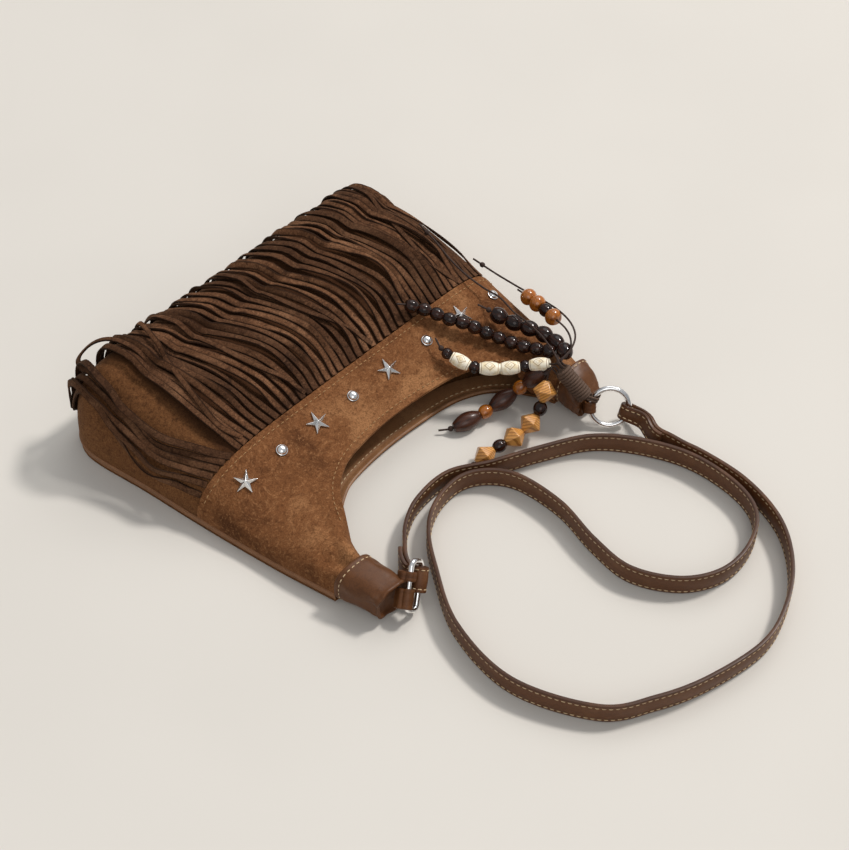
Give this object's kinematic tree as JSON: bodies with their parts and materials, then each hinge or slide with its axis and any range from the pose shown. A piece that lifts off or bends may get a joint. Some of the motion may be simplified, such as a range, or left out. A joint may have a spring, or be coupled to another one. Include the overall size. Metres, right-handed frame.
{
  "type": "fringed suede shoulder bag",
  "caption": "Suede shoulder bag with a U-cut mouth between two horns, a fringe under a studded yoke, a leather strap on rings and a tassel of beaded cords.",
  "frame": {"origin": "on the flat back face, under the middle of the bag", "axes": "+Z out of the front panel, +Y from the bottom of the bag to its mouth, +X to the horn that carries the rectangular ring"},
  "size_m": [0.2609, 0.3979, 0.0696],
  "materials": {
    "suede": "napped suede, matt and mottled",
    "fringe_suede": "darker napped suede",
    "leather": "smooth oiled leather, satin",
    "polished_metal": "bright plated metal",
    "carved_white": "carved bone-like beads",
    "dark_wood": "dark polished beads and waxed cord",
    "amber_wood": "amber-brown polished beads"
  },
  "bodies": {
    "bag": {"back_panel": "suede", "cord_wrapping": "leather", "dome_stud_1": "polished_metal", "dome_stud_2": "polished_metal", "dome_stud_3": "polished_metal", "dome_stud_4": "polished_metal", "fringe": "fringe_suede", "front_panel": "suede", "gusset_strip": "leather", "horn_cap_left": "leather", "horn_cap_right": "leather", "loop_left": "polished_metal", "mouth_facing": "leather", "shoulder_strap": "leather", "star_stud_1": "polished_metal", "star_stud_2": "polished_metal", "star_stud_3": "polished_metal", "star_stud_4": "polished_metal", "strand_amber": "dark_wood", "strand_amber_amber_1": "amber_wood", "strand_amber_amber_2": "amber_wood", "strand_amber_amber_3": "amber_wood", "strand_bicone": "dark_wood", "strand_bicone_bicone_1": "amber_wood", "strand_bicone_bicone_2": "amber_wood", "strand_bicone_bicone_3": "amber_wood", "strand_bicone_bicone_4": "amber_wood", "strand_carved": "dark_wood", "strand_carved_white_1": "carved_white", "strand_carved_white_2": "carved_white", "strand_carved_white_3": "carved_white", "strand_carved_white_4": "carved_white", "strand_large_dark": "dark_wood", "strand_olive": "dark_wood", "strand_olive_amber_1": "amber_wood", "strand_olive_amber_2": "amber_wood", "strand_olive_olive_1": "dark_wood", "strand_olive_olive_2": "dark_wood", "strand_olive_olive_3": "dark_wood", "strand_small_dark": "dark_wood", "tab_left": "leather", "tab_right": "leather", "tassel_loop": "leather", "thin_cord_side": "dark_wood", "thin_cord_top": "dark_wood", "yoke_panel": "suede"},
    "right_ring": {"ring_right": "polished_metal"}
  },
  "joints": [
    {"name": "ring_spin", "type": "hinge", "parent": "bag", "child": "right_ring", "pos_m": [-0.1076, 0.142, 0.0126], "axis": [0.6177, 0.607, 0.5001], "continuous": true}
  ]
}
